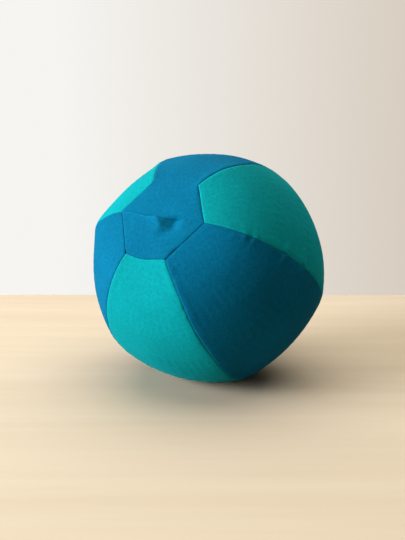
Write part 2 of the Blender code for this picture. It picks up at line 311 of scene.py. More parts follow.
def lie_on_floor(grid):
    """Press the cloth softly against the floor, and never below it."""
    row = to_row(grid)
    height = row[..., 2]
    row[..., 2] = 0.5 * (height + np.sqrt(height ** 2 + FLOOR_SOFTNESS ** 2))
    return from_row(row)


# the slit and the knot that lifts the flap, in the slit's own x and y
RIDGE_HEIGHT = 4.5 * MM
HOLLOW_DEPTH = 4.2 * MM


def ridge_crest(y):
    back = np.clip(-y, 0, None)
    swing = 5.5 * MM * smooth((back - 2 * MM) / (11 * MM)) - 4.5 * MM * smooth((back - 12 * MM) / (7 * MM))
    return 0.6 * MM + swing


def flap_relief(x, y):
    """Height of the flap over the knot, and the hollow beside it."""
    back = np.clip(-y, 0, None)
    t = x - ridge_crest(y)
    height = RIDGE_HEIGHT * np.exp(-((back / (15.5 * MM)) ** 2.6))
    depth = HOLLOW_DEPTH * np.exp(-((back / (13.5 * MM)) ** 2.6))
    flank = (17 * MM) - 0.45 * np.minimum(back, 16 * MM)
    left = height * np.exp(-((np.clip(-t, 0, None) / (9.5 * MM)) ** 1.4))
    fall = 0.35 * smooth(t / flank) + 0.65 * np.clip(t / flank, 0, 1)
    recover = 1 - smooth((t - flank) / (13 * MM))
    right = height * (1 - fall) - depth * fall * recover
    return np.where(t < 0, left, right)


def mouth(x):
    """How far the flap's free edge is drawn back from the slit."""
    drawn = 1.9 * MM * smooth((x + 30 * MM) / (22 * MM)) * (1 - smooth((x - 11 * MM) / (16 * MM)))
    for place, spread, more in ((3, 6, 1.6), (17, 5, -0.8), (27, 6, -0.3)):
        drawn = drawn + more * MM * bell((x / MM - place) / spread)
    return drawn


def upper_relief(x, y):
    """Height of the upper panel near the slit, where it dips and runs on beneath the flap."""
    past = y + mouth(x)
    shown = np.clip(past, 0, None)
    under = flap_relief(x, np.minimum(y, 0)) * bell(shown / (2.2 * MM))
    under = under * (1 - 0.5 * smooth((past + 3 * MM) / (3 * MM)))
    layer = -1.20 * MM * np.exp(-((shown / (2.2 * MM)) ** 1.3))
    along = bell((x - 16 * MM) / (9 * MM))
    dive = -2.6 * MM * along * np.where(past > 0, bell(past / (1.4 * MM)), bell(past / (6 * MM)))
    return under + layer + dive


# ---- outside surfaces of the panels
def turned_in(grid, aim, sewn):
    """Add the turned-in allowance along the sewn sides; sewn is (first row, last row, left, right)."""
    for place, axis, end, inside in ((2, 1, 0, 3), (3, 1, -1, -4), (0, 0, 0, 3), (1, 0, -1, -4)):
        if not sewn[place]:
            continue
        edge, edge_aim = np.take(grid, [end], axis), np.take(aim, [end], axis)
        into = unit(np.take(grid, [inside], axis) - edge)
        edge = edge - edge_aim * FLANGE + into * SEAM_LEAN
        grid = np.concatenate([grid, edge] if end else [edge, grid], axis=axis)
        aim = np.concatenate([aim, edge_aim] if end else [edge_aim, aim], axis=axis)
    return grid


def pattern_of(grid, column_run):
    """Flat pattern coordinates: along the panel's middle line, and across it."""
    middle = grid.shape[1] // 2
    along = lengths_along(grid[:, middle], 0)
    return np.stack([column_run, np.broadcast_to(along[:, None], column_run.shape)], axis=-1)


def padded_uv(uv, sewn):
    """Repeat the pattern's border for the turned-in allowance."""
    pad = ((int(sewn[0]), int(sewn[1])), (int(sewn[2]), int(sewn[3])), (0, 0))
    return np.pad(uv, pad, mode="edge")


def flat_area(uv):
    a = uv[1:, 1:] - uv[:-1, :-1]
    b = uv[1:, :-1] - uv[:-1, 1:]
    return float(np.abs(a[..., 0] * b[..., 1] - a[..., 1] * b[..., 0]).sum() * 0.5)


def sewn_panel(grid, direction, uv, sewn):
    """A panel's grid with its turned-in allowances, its pattern to match, and its flat area."""
    return turned_in(grid, direction, sewn), padded_uv(uv, sewn), flat_area(uv)


def cap_dome(x, y):
    """Slight bulge of a cap between its six sides."""
    rise = CAP_RISE
    for azimuth in (30, 90, 150):
        turn = math.radians(azimuth)
        offset = (x * math.cos(turn) + y * math.sin(turn)) / CAP_APOTHEM
        rise = rise * np.clip(1 - offset ** 2, 0, 1) ** 0.8
    return rise


# gentle unevenness of the hand-cut cover: centre, push and spread, in cover axes and in mm
PUSHES = [
    ((-5, -43.1, 110.8), (0, -2.8, -1.2), 17),
    ((-49.8, 0, 110.8), (-1.4, 3.8, 0), 28),
    ((-24.9, 43.1, 110.8), (-1, -0.2, 0), 26),
    ((24.9, 43.1, 110.8), (3, -2.4, 0), 28),
    ((-24.9, -43.1, 110.8), (-1.6, 2, 0), 26),
    ((24.9, -43.1, 110.8), (-3.6, 0.2, 0), 26),
    ((49, 85, 83), (4, -2.4, 0), 34),
    ((56, -97, 65), (-1.9, -1.1, 0), 42),
    ((-49, 71, 85), (2.2, -1.4, -1.6), 30),
    ((-2, 100, 68), (0, -1, -0.8), 35),
    ((104, 36, -50), (1.2, 0.5, -0.6), 40),
    ((56, 108, 33), (-1, -1.8, -0.6), 30),
    ((-98, 4, 76), (-1.8, 0, 1.5), 20),
    ((64, -112, -15), (-3.6, -2.1, 0), 38),
]


def pushed(points):
    total = points.copy()
    for centre, push, spread in PUSHES:
        away = np.linalg.norm(points - np.array(centre) * MM, axis=-1) / (spread * MM)
        total = total + np.array(push) * MM * bell(away)[..., None]
    return total


# ---- the cover blown tight, by cloth simulation
SIM_ROWS = 88
SIM_COLUMNS = 28
SIM_SCALE = 10  # the solver is steadier on a larger copy
SIM_FRAMES = 12
SEAM_HOLD = 0.35  # a seam is four layers and thread, so it gives less than the cloth
CLOTH_HOLD = 0.06
SIM_SETTINGS = {
    "quality": 6, "mass": 0.02, "tension_stiffness": 30, "compression_stiffness": 30, "shear_stiffness": 8,
    "bending_stiffness": 0.05, "air_damping": 2, "use_sewing_springs": True, "use_pressure": True,
    "uniform_pressure_force": 2, "vertex_group_mass": "hold",
}
MOVE_LIMIT = 3 * MM
GORE_MIDDLES = (-90, -30, 30, 90, 150, 210)


def placed(name, data):
    """A new object in the scene."""
    thing = bpy.data.objects.new(name, data)
    bpy.context.scene.collection.objects.link(thing)
    return thing


def sim_grids():
    """Every panel as a coarse grid; the borders of neighbours meet point for point."""
    column = np.linspace(-1, 1, SIM_COLUMNS + 1)[None, :]
    colatitude = np.linspace(CAP_COLATITUDE, 180 - CAP_COLATITUDE, SIM_ROWS + 1)[:, None]
    grids = {middle: gore_surface(colatitude, column, middle) for middle in GORE_MIDDLES}
    y = np.linspace(-CAP_APOTHEM, CAP_APOTHEM, 2 * SIM_COLUMNS + 1)[:, None]
    x = column * half_width(y)
    for sign in (1, -1):
        z = sign * (CAP_HEIGHT + cap_dome(x, y))
        grids[sign] = np.stack([x, np.broadcast_to(y, x.shape), z], axis=-1)
    return grids


def outward_quads(grid, index):
    """Quads of a grid that face away from the cover's centre, and whether they were turned round for that."""
    quads = np.stack([index[:-1, :-1], index[:-1, 1:], index[1:, 1:], index[1:, :-1]], axis=-1).reshape(-1, 4)
    row, column = grid.shape[0] // 2, grid.shape[1] // 2
    centre = grid[row, column]
    turned = np.cross(grid[row, column + 1] - centre, grid[row + 1, column] - centre) @ centre < 0
    return (quads[:, ::-1] if turned else quads), turned


def cut_flat(grid):
    """The panel's flat pattern, as it was cut."""
    across = about_middle(lengths_along(grid, 1))
    along = np.broadcast_to(lengths_along(grid[:, [grid.shape[1] // 2]], 0), across.shape)
    return np.stack([across, along, np.zeros_like(across)], axis=-1)


def sewn_pairs(points, panel, border):
    """Pairs of border points that lie together on different panels."""
    tree = KDTree(len(border))
    for place, vertex in enumerate(border):
        tree.insert(points[vertex], place)
    tree.balance()
    pairs = []
    for place, vertex in enumerate(border):
        for _, other, _ in tree.find_range(points[vertex], 0.05 * MM):
            if other > place and panel[border[other]] != panel[vertex]:
                pairs.append((int(vertex), int(border[other])))
    return pairs


def blown_tight():
    """Sew the flat panels together over air pressure; gives how far each grid point moves."""
    grids = sim_grids()
    start, index, quads, border = 0, {}, [], []
    for key, grid in grids.items():
        rows, columns = grid.shape[:2]
        i = np.arange(rows * columns).reshape(rows, columns) + start
        start += rows * columns
        index[key] = i
        quads.append(outward_quads(grid, i)[0])
        border += sorted({int(v) for v in np.concatenate([i[0], i[-1], i[:, 0], i[:, -1]])})
    points = np.concatenate([grid.reshape(-1, 3) for grid in grids.values()])
    flat = np.concatenate([cut_flat(grid).reshape(-1, 3) for grid in grids.values()])
    panel = np.concatenate([np.full(i.size, place) for place, i in enumerate(index.values())])
    pairs = sewn_pairs(points, panel, border)
    mesh = bpy.data.meshes.new("sewing")
    mesh.from_pydata((points * SIM_SCALE).tolist(), pairs, np.concatenate(quads).tolist())
    thing = placed("sewing", mesh)
    thing.shape_key_add(name="sewn")
    pattern = thing.shape_key_add(name="cut flat")
    pattern.data.foreach_set("co", (flat * SIM_SCALE).astype(np.float32).ravel())
    pattern.value = 0
    hold = thing.vertex_groups.new(name="hold")
    hold.add(list(range(len(points))), CLOTH_HOLD, "REPLACE")
    hold.add(border, SEAM_HOLD, "REPLACE")
    cloth = thing.modifiers.new("Cloth", "CLOTH")
    for key, value in SIM_SETTINGS.items():
        setattr(cloth.settings, key, value)
    cloth.settings.rest_shape_key = pattern
    cloth.settings.effector_weights.gravity = 0
    cloth.collision_settings.use_collision = False
    cloth.point_cache.frame_start = 1
    cloth.point_cache.frame_end = SIM_FRAMES
    for step in range(1, SIM_FRAMES + 1):
        bpy.context.scene.frame_set(step)
    applied = bpy.data.meshes.new_from_object(thing.evaluated_get(bpy.context.evaluated_depsgraph_get()))
    co = np.empty(len(applied.vertices) * 3, np.float32)
    applied.vertices.foreach_get("co", co)
    bpy.data.objects.remove(thing, do_unlink=True)
    bpy.data.meshes.remove(applied)
    bpy.data.meshes.remove(mesh)
    bpy.context.scene.frame_set(1)
    move = co.reshape(-1, 3).astype(float) / SIM_SCALE - points
    far = np.linalg.norm(move, axis=1, keepdims=True)
    move *= np.minimum(1, MOVE_LIMIT / np.maximum(far, 1e-9))
    return {key: move[i] for key, i in index.items()}


MOVES = blown_tight()


def taps(position, count):
    """The four grid lines around each position, and the weights of a smooth curve through them."""
    first = np.clip(np.floor(position).astype(int), 0, count - 2)
    t = position - first
    index = np.clip(first[..., None] + np.arange(-1, 3), 0, count - 1)
    weights = [-t + 2 * t ** 2 - t ** 3, 2 - 5 * t ** 2 + 3 * t ** 3,
               t + 4 * t ** 2 - 3 * t ** 3, t ** 3 - t ** 2]
    return index, 0.5 * np.stack(weights, axis=-1)


def settled(key, row, column):
    """How far the simulation moved a panel, at rows from 0 to 1 and columns from -1 to 1."""
    row, column = np.broadcast_arrays(row, column)
    if key not in MOVES:
        return np.zeros(row.shape + (3,))
    move = MOVES[key]
    i, wi = taps(np.clip(row, 0, 1) * (move.shape[0] - 1), move.shape[0])
    j, wj = taps(np.clip(column * 0.5 + 0.5, 0, 1) * (move.shape[1] - 1), move.shape[1])
    near = move[i[..., :, None], j[..., None, :]]
    return np.sum(near * (wi[..., :, None] * wj[..., None, :])[..., None], axis=(-3, -2))


def gore_settled(middle, colatitude, column):
    return settled(middle, (colatitude - CAP_COLATITUDE) / (180 - 2 * CAP_COLATITUDE), column)


def cap_settled(sign, x, y):
    return settled(sign, 0.5 + 0.5 * y / CAP_APOTHEM, x / half_width(y))


def cap_seam_aim(column, sign, azimuth):
    """Shared normal of a cap and the gore at the azimuth, where they are sewn together."""
    return unit(gore_end_normal(column, azimuth, sign) + np.array([0, 0, sign]))


def cap_edge_aim(points, sign, azimuth):
    """The same at points on the cap's side."""
    return cap_seam_aim((points @ around(azimuth)) / (CAP_CORNER / 2), sign, azimuth)


def gore_seam_aim(n, azimuth):
    """Normals turned into the plane of the gore seam at the azimuth."""
    plane = around(azimuth)
    return unit(n - (n @ plane)[..., None] * plane)


def raised(grid, n, height):
    return grid + n * height[..., None]


def gore_grid(middle):
    """Outside of a plain gore, with its turned-in allowances, and its flat pattern."""
    colatitude, _ = gore_colatitudes()
    column = columns_for(gore_columns(colatitude, middle))
    grid = pushed(gore_surface(colatitude[:, None], column, middle))
    grid += gore_settled(middle, colatitude[:, None], column)
    n, run, width = normals(grid), lengths_along(grid, 0), lengths_along(grid, 1)
    uv = pattern_of(grid, about_middle(width))
    seams = Seams(grid)
    ends = smooth(np.minimum(run, run[-1:] - run) / SEAM_FADE)
    for side, distance in zip((LEFT, RIGHT), from_sides(width)):
        azimuth = middle + (HALF_GORE if side == RIGHT else -HALF_GORE)
        seams.add(distance, gore_seam_aim(n[:, [-side]], azimuth))
        puckers = seam_gathers[int(azimuth + 60) % 360 - 60][1 - side]
        grid = raised(grid, n, pucker(puckers, run, distance) * ends)
        if side == LEFT:
            grid = raised(grid, n, allowance(distance) * ends)
    sides = smooth(np.minimum(*from_sides(width)) / (4 * MM))
    for sign, distance, row in ((1, run, 0), (-1, run[-1:] - run, -1)):
        seams.add(distance, cap_seam_aim(column[row], sign, middle))
        puckers = cap_gathers[(sign, int(middle) // 60 % 6)]
        grid = raised(grid, n, pucker(puckers, width, distance) * sides)
        if sign == -1:
            grid = raised(grid, n, allowance(distance) * sides)
    grid, direction = seams.fold(grid, n)
    if middle == -30:
        grid = raised(grid, direction, -gape("right", width, run))
    if middle == 210:
        grid = raised(grid, direction, -gape("left", width[:, -1:] - width, run))
    return sewn_panel(lie_on_floor(grid), direction, uv, (True, True, True, True))


def top_outline():
    """Where the top panel's rows and columns lie, on the cap and on the gore."""
    under_y = -np.linspace(UNDERLAP, TOP_STEP, int(UNDERLAP / TOP_STEP))
    cap_y = np.linspace(0, CAP_APOTHEM, int(CAP_APOTHEM / TOP_STEP) + 1)
    colatitude, places = gore_colatitudes()
    colatitude = colatitude[places > FINE[-1] - 1e-9][1:]
    flat_y = np.concatenate([under_y, cap_y])
    inset = 2.6 * MM * smooth(-flat_y / (2.5 * MM))
    flat_width = 2 * (half_width(flat_y) - inset)
    column = columns_for(np.concatenate([flat_width, gore_columns(colatitude, 90)]))
    return len(under_y), flat_y, flat_width, colatitude, column


EASED_ROWS = 9
EASING_PASSES = 40


def top_grid():
    """The gore at cover +Y with half the cap and the underlap, in one piece."""
    hidden_rows, flat_y, flat_width, colatitude, column = top_outline()
    cap_rows = len(flat_y)
    x = -column[:cap_rows] * flat_width[:, None] / 2
    y = np.broadcast_to(flat_y[:, None], x.shape)
    cap = np.stack([x, y, CAP_HEIGHT + cap_dome(x, y)], axis=-1)
    gore = gore_surface(colatitude[:, None], column[cap_rows:], 90)
    grid = pushed(np.concatenate([cap, gore], axis=0))
    grid[:cap_rows] += cap_settled(1, x, y)
    grid[cap_rows:] += gore_settled(90, colatitude[:, None], column[cap_rows:])
    # no seam between the half cap and the gore: ease the bend over some rows, but not at the sewn sides
    sides = smooth(np.minimum(*from_sides(lengths_along(grid, 1))) / (9 * MM))
    rows = np.arange(len(grid))
    zone = smooth(1 - np.abs(rows - (cap_rows - 1)) / EASED_ROWS)[:, None] * sides
    for _ in range(EASING_PASSES):
        eased = grid.copy()
        eased[1:-1] = 0.5 * grid[1:-1] + 0.25 * (grid[2:] + grid[:-2])
        grid = grid + (eased - grid) * zone[..., None]
    width = lengths_along(grid, 1)
    uv = pattern_of(grid, -about_middle(width))
    n = normals(grid)
    # the slit
    relief = upper_relief(x, y) * smooth(np.minimum(*from_sides(width))[:cap_rows] / (9 * MM))
    grid[:cap_rows, :, 2] += relief
    grid[:hidden_rows, :, 2] -= 0.35 * MM
    run = lengths_along(grid, 0)
    run = run - run[hidden_rows][None]
    total = run[-1:]
    along = run - CAP_APOTHEM
    slant = np.where(rows < cap_rows, COS_HALF, 1)[:, None]
    shown = np.where(rows < hidden_rows, 0, 1)[:, None]
    on_gore = smooth(along / SEAM_FADE) * smooth((total - run) / SEAM_FADE)
    on_cap = smooth(run / CAP_FADE) * smooth(-along / CAP_FADE) * shown
    seams = Seams(grid)
    for side, distance, azimuth, hex_side in zip((LEFT, RIGHT), from_sides(width), (60, 120), (30, 150)):
        distance = distance * slant
        aim = gore_seam_aim(n[:, -side], azimuth)
        aim[:cap_rows] = cap_edge_aim(grid[:cap_rows, -side], 1, hex_side)
        seams.add(distance, aim[:, None], shown)
        grid = raised(grid, n, pucker(seam_gathers[azimuth][1 - side], along, distance) * on_gore)
        grid = raised(grid, n, pucker(cap_gathers[(1, hex_side // 60)], run, distance) * on_cap)
        if side == LEFT:
            grid = raised(grid, n, allowance(distance) * shown)
    seams.add(total - run, cap_seam_aim(column[-1], -1, 90))
    grid, direction = seams.fold(grid, n)
    return sewn_panel(lie_on_floor(grid), direction, uv, (False, True, True, True))


def flap_grid():
    """The half cap that is sewn on three sides, from its lower side to its free edge."""
    y0 = spaced(CAP_APOTHEM, FLAP_STEP)
    y0 = y0[: len(y0) - len(FINE) + 2] - CAP_APOTHEM
    y0[-1] = 0
    column = columns_for(2 * half_width(y0))
    x = column * half_width(y0)[:, None]
    flat_y = np.broadcast_to(y0[:, None], x.shape)
    y = flat_y - mouth(x) * (1 + flat_y / CAP_APOTHEM) ** 3
    z = CAP_HEIGHT + cap_dome(x, flat_y)
    grid = pushed(np.stack([x, y, z], axis=-1)) + cap_settled(1, x, flat_y)
    width = lengths_along(grid, 1)
    uv = pattern_of(grid, x)
    n = normals(grid)
    sides = np.minimum(*from_sides(width))
    lip = 0.6 * MM * bell((flat_y + 0.6 * MM) / (1.5 * MM))
    grid[..., 2] += (flap_relief(x, y) + lip) * smooth(sides / (9 * MM))
    seams = Seams(grid)
    apart = [distance * COS_HALF for distance in from_sides(width)]
    for side, distance, azimuth in zip((LEFT, RIGHT), apart, (210, 330)):
        seams.add(distance, cap_edge_aim(grid[:, -side], 1, azimuth)[:, None])
        run = lengths_along(grid, 0)
        amount = smooth(np.minimum(run, run[-1:] - run) / CAP_FADE)
        grid = raised(grid, n, pucker(cap_gathers[(1, azimuth // 60)], run, distance) * amount)
    run = lengths_along(grid, 0)
    seams.add(run, cap_edge_aim(grid[0], 1, 270))
    grid = raised(grid, n, pucker(cap_gathers[(1, 4)], width, run) * smooth(sides / CAP_FADE))
    grid, direction = seams.fold(grid, n)
    for node, away in zip(("left", "right"), apart):
        grid = raised(grid, direction, -gape(node, run, away))
    grid = turned_in(grid, direction, (True, False, True, True))
    # rounded fold of the hem along the free edge
    rim = grid[-1:] + np.array([0, 0.00022, -0.45 * HEM_CLOTH])
    grid[-1:] += np.array([0, 0, 0.00004])
    grid = np.concatenate([grid, rim], axis=0)
    thickness = np.full(grid.shape[:2], HEM_CLOTH)
    thickness[-1] = 0.1 * HEM_CLOTH
    padded = padded_uv(uv, (True, True, True, True))
    return grid, padded, flat_area(uv), thickness


def far_grid():
    """The full hexagon at the far end."""
    y0 = spaced(2 * CAP_APOTHEM, GORE_STEP) - CAP_APOTHEM
    x = columns_for(2 * half_width(y0)) * half_width(y0)[:, None]
    y = np.broadcast_to(y0[:, None], x.shape)
    z = -CAP_HEIGHT - cap_dome(x, y)
    grid = pushed(np.stack([x, y, z], axis=-1)) + cap_settled(-1, x, y)
    uv = pattern_of(grid, x)
    run = lengths_along(grid, 0)
    seams = Seams(grid)
    for side, distance in zip((LEFT, RIGHT), from_sides(lengths_along(grid, 1))):
        below, above = (cap_edge_aim(grid[:, -side], -1, k) for k in ((210, 150), (330, 30))[side])
        seams.add(distance * COS_HALF, np.where(y0[:, None] < 0, below, above)[:, None])
    seams.add(run, cap_edge_aim(grid[0], -1, 270))
    seams.add(run[-1:] - run, cap_edge_aim(grid[-1], -1, 90))
    grid, direction = seams.fold(grid, normals(grid))
    return sewn_panel(grid, direction, uv, (True, True, True, True))


# ---- making objects
def new_object(name, points, faces, finish, uv=None):
    mesh = bpy.data.meshes.new(name)
    mesh.from_pydata(list(points), [], list(faces))
    mesh.materials.append(finish)
    mesh.polygons.foreach_set("use_smooth", [True] * len(mesh.polygons))
    if uv is not None:
        layer = mesh.uv_layers.new(name="pattern")
        index = np.empty(len(mesh.loops), np.int32)
        mesh.loops.foreach_get("vertex_index", index)
        layer.data.foreach_set("uv", uv[index].astype(np.float32).ravel())
    mesh.update()
    return placed(name, mesh)


def cloth_object(name, grid, uv, thickness, finish, wear_and_highlight_amount=0.12, hem=None):
    """Closed thin solid: the grid, the same grid one thickness further in, and the border.

    The folds along its border are marked to be painted lighter, partly for rubbing of the cloth and partly as
    a painted highlight where the folds catch the light, and its last row too where hem says how much.
    """
    rows, columns = grid.shape[:2]
    inner = grid - normals(grid) * np.broadcast_to(thickness, (rows, columns))[..., None]
    points = np.concatenate([grid.reshape(-1, 3), inner.reshape(-1, 3)])
    index = np.arange(rows * columns).reshape(rows, columns)
    quads, turned = outward_quads(grid, index)
    under = quads[:, ::-1] + rows * columns
    ring = np.concatenate([index[0, :], index[1:, -1], index[-1, -2::-1], index[-2:0:-1, 0]])
    following = np.roll(ring, -1)
    border = np.stack([ring, following, following + rows * columns, ring + rows * columns], axis=-1)
    if not turned:
        border = border[:, ::-1]
    faces = np.concatenate([quads, under, border])
    thing = new_object(name, to_row(points), faces.tolist(), finish, np.tile(uv.reshape(-1, 2), (2, 1)))
    sides = np.minimum(np.abs(uv[..., 0] - uv[:, [0], 0]), np.abs(uv[..., 0] - uv[:, [-1], 0]))
    ends = np.minimum(np.abs(uv[..., 1] - uv[[0], :, 1]), np.abs(uv[..., 1] - uv[[-1], :, 1]))
    # painted highlight and rubbing: the folds along the border are marked to be painted lighter
    wear_and_highlight = wear_and_highlight_amount * bell((np.minimum(sides, ends) - 0.5 * MM) / (0.75 * MM))
    if hem is not None:
        free = np.abs(uv[..., 1] - uv[[-1], :, 1])
        wear_and_highlight = np.maximum(wear_and_highlight * smooth(free / (4 * MM)), hem * bell((free - 0.5 * MM) / (0.8 * MM)))
    layer = thing.data.attributes.new("fold_wear_and_highlight", "FLOAT", "POINT")
    layer.data.foreach_set("value", np.tile(wear_and_highlight.ravel(), 2).astype(np.float32))
    return thing


def ring_faces(count, sides, closed=False):
    """Quads between neighbouring rings of points."""
    following = [*range(1, count), 0][: count if closed else count - 1]
    return [
        (k * sides + i, k * sides + j, m * sides + j, m * sides + i)
        for k, m in enumerate(following) for i, j in enumerate([*range(1, sides), 0])
    ]


def tube(points, radii, sides=8, closed=False, outward=None):
    """Vertices and faces of a tube along points; radii is one number or one (aside, outward) pair a point."""
    points = np.asarray(points, float)
    count = len(points)
    radii = np.broadcast_to(np.asarray(radii, float), (count, 2))
    if closed:
        along = unit(np.roll(points, -1, axis=0) - np.roll(points, 1, axis=0))
    else:
        along = unit(np.gradient(points, axis=0))
    out = unit(points if outward is None else np.broadcast_to(outward, points.shape))
    out = unit(out - np.sum(out * along, axis=1, keepdims=True) * along)
    aside = np.cross(along, out)
    angle = 2 * np.pi * np.arange(sides) / sides
    ring = aside[:, None] * (np.cos(angle)[None, :, None] * radii[:, None, [0]])
    ring = ring + out[:, None] * (np.sin(angle)[None, :, None] * radii[:, None, [1]])
    vertices = (points[:, None] + ring).reshape(-1, 3)
    faces = ring_faces(count, sides, closed)
    if not closed:
        faces.append(tuple(range(sides - 1, -1, -1)))
        faces.append(tuple(range((count - 1) * sides, count * sides)))
    return vertices, faces


def joined(parts):
    """Several (vertices, faces) as one."""
    vertices, faces, start = [], [], 0
    for v, f in parts:
        vertices.append(v)
        faces += [tuple(i + start for i in face) for face in f]
        start += len(v)
    return np.concatenate(vertices), faces


def followed(place, run, values):
    """Vectors along a line, read at the given places on it."""
    return np.stack([np.interp(place, run, values[:, k]) for k in range(3)], axis=1)


STITCH_DEPTH = 0.80 * MM
STITCH_SWAY = 0.15 * MM


def stitches(line, aside, outward, closed=False):
    """A thread that crosses from one panel to the other along a seam line."""
    run = lengths_along(line[:, None], 0)[:, 0]
    count = int(round(run[-1] / STITCH)) * 4
    place = np.linspace(0, run[-1], count + 1)
    if closed:
        place = place[:-1]
    at, across, out = (followed(place, run, values) for values in (line, aside, outward))
    out = unit(out)
    phase = np.arange(len(place)) % 4
    swing = np.array([-1, 0, 1, 0])[phase]
    sink = np.array([0, 1, 0, 1])[phase]
    path = at + across * (swing * STITCH_SWAY)[:, None] - out * (STITCH_DEPTH + sink * 0.12 * MM)[:, None]
    return tube(path, THREAD_RADIUS, sides=6, closed=closed, outward=out)


# ---- materials
class Nodes:
    """Short names for building the nodes of a material or of the world."""

    def __init__(self, owner, shader="Principled BSDF"):
        self.owner = owner
        owner.use_nodes = True
        self.tree = owner.node_tree
        self.shader = self.tree.nodes[shader]

    def put(self, node, sockets):
        """Link a node's inputs to other nodes' outputs, or set their values."""
        for name, value in sockets.items():
            if isinstance(value, bpy.types.NodeSocket):
                self.tree.links.new(value, node.inputs[name])
            else:
                node.inputs[name].default_value = value
        return node

    def add(self, kind, sockets=None, **settings):
        node = self.tree.nodes.new("ShaderNode" + kind)
        for key, value in settings.items():
            setattr(node, key, value)
        return self.put(node, sockets or {})

    def math(self, operation, a, b=None, clamp=False):
        values = {0: a} if b is None else {0: a, 1: b}
        return self.add("Math", values, operation=operation, use_clamp=clamp).outputs[0]

    def place(self):
        return self.add("TexCoord").outputs["Object"]

    def noise(self, vector, scale, detail, roughness, dimensions="3D"):
        sockets = {"Vector": vector, "Scale": scale, "Detail": detail, "Roughness": roughness}
        return self.add("TexNoise", sockets, noise_dimensions=dimensions).outputs["Fac"]

    def stretched(self, vector, scale, location=(0, 0, 0), turn=0):
        sockets = {"Vector": vector, "Scale": scale, "Location": location}
        return self.add("Mapping", {**sockets, "Rotation": (0, 0, math.radians(turn))}).outputs["Vector"]

    def weighted(self, *terms):
        """Sum of values, each times its weight."""
        total, *parts = (self.math("MULTIPLY", value, weight) for value, weight in terms)
        for part in parts:
            total = self.math("ADD", total, part)
        return total

    def ramp(self, value, first, last, between=None):
        """Colour ramp from stops of place and colour."""
        node = self.add("ValToRGB", {"Fac": value})
        for element, (place, colour) in zip(node.color_ramp.elements, (first, last)):
            element.position = place
            element.color = (*colour, 1)
        if between:
            node.color_ramp.elements.new(between[0]).color = (*between[1], 1)
        return node.outputs["Color"]

    def bump(self, height, strength, distance):
        sockets = {"Height": height, "Strength": strength, "Distance": distance}
        return self.add("Bump", sockets).outputs["Normal"]

    def finished(self, sockets):
        self.put(self.shader, sockets)
        return self.owner


def new_material(name):
    return Nodes(bpy.data.materials.new(name))


YARN_PITCH = 0.00052
RUBBED_AND_HIGHLIGHT_GAIN = 1.45  # how much lighter the folds are painted than the lightest yarn, partly for rubbing and partly as painted highlight


def cotton(name, colour, dark, light, turn, sheen, sheen_tint):
    """Plain-woven cotton: yarns over and under, slubs along both yarns, slight unevenness of the dye."""
    m = new_material(name)
    place = m.stretched(m.add("UVMap", uv_map="pattern").outputs["UV"], (1, 1, 1), turn=turn)
    split = m.add("SeparateXYZ", {"Vector": place})
    waves = [m.math("SINE", m.math("MULTIPLY", split.outputs[axis], math.pi / YARN_PITCH)) for axis in "XY"]
    weave = m.math("MULTIPLY", *waves)

    def flecks(size, shift, detail, roughness, vector=place):
        """Noise on the flat pattern, with the given frequencies across and along it."""
        return m.noise(m.stretched(vector, (*size, 1), (*shift, 0)), 1, detail, roughness, "2D")

    slub_u = flecks((380, 2000), (0, 0), 3, 0.6)
    slub_v = flecks((2000, 380), (7, 3), 3, 0.6)
    ribs = [
        flecks((520, 190), (2, 9), 1, 0.5, m.stretched(place, (1, 1, 1), turn=slant))
        for slant in (45, -45)
    ]
    patches = flecks((16, 16), (3, 1), 4, 0.6)
    pills = flecks((420, 420), (5, 8), 1, 0.5)
    broken = flecks((170, 170), (1, 4), 2, 0.6)
    slubs = m.math("ADD", m.weighted((m.math("ADD", slub_u, slub_v), 0.5), (m.math("ADD", *ribs), 0.9)), 0.1)
    tone = m.weighted((slubs, 0.42), (patches, 0.34), (weave, 0.035))
    # the folds beside the seams and hems are painted lighter: partly rubbing of the cloth, partly a painted
    # highlight where the folds catch the light
    fold_line = m.add("Attribute", attribute_name="fold_wear_and_highlight").outputs["Fac"]
    rubbed_and_highlit = m.add("Mix", {
        "Factor": m.math("MULTIPLY", fold_line, m.math("MULTIPLY", broken, 1.7), clamp=True),
        "A": m.ramp(tone, (0.52, dark), (1, light), (0.80, colour)),
        "B": (*(RUBBED_AND_HIGHLIGHT_GAIN * c for c in light), 1),
    }, data_type="RGBA")
    return m.finished({
        "Base Color": rubbed_and_highlit.outputs["Result"],
        "Roughness": m.math("ADD", m.math("MULTIPLY", slubs, 0.10), 0.72, clamp=True),
        "Normal": m.bump(m.weighted((weave, 0.30), (slubs, 0.75), (pills, 0.25)), 0.55, 0.22 * MM),
        "Specular IOR Level": 0.02,
        "Sheen Weight": sheen, "Sheen Roughness": 0.30, "Sheen Tint": (*sheen_tint, 1),
    })


def yarn(name, colour):
    """Twisted sewing thread."""
    m = new_material(name)
    twist = m.add(
        "TexWave", {"Vector": m.place(), "Scale": 900, "Distortion": 1.5},
        wave_type="BANDS", bands_direction="DIAGONAL",
    ).outputs["Fac"]
    tone = m.weighted((twist, 0.6), (m.noise(m.place(), 2400, 2, 0.6), 0.4))
    dark, light = ([k * c for c in colour] for k in (0.55, 1.25))
    return m.finished({
        "Base Color": m.ramp(tone, (0, dark), (1, light)), "Normal": m.bump(twist, 0.6, 0.05 * MM),
        "Roughness": 0.7, "Specular IOR Level": 0.08,
    })


def rubber(name):
    """Thin red balloon latex, dusty and a little cloudy."""
    m = new_material(name)
    cloud = m.noise(m.place(), 18, 4, 0.55)
    return m.finished({
        "Base Color": m.ramp(cloud, (0.3, (0.40, 0.022, 0.028)), (0.7, (0.62, 0.055, 0.060))),
        "Roughness": m.math("ADD", m.math("MULTIPLY", cloud, 0.3), 0.22),
        "Normal": m.bump(m.noise(m.place(), 1400, 2, 0.5), 0.25, 0.1 * MM),
        "Subsurface Weight": 0.15, "Subsurface Radius": (0.004, 0.001, 0.001),
    })


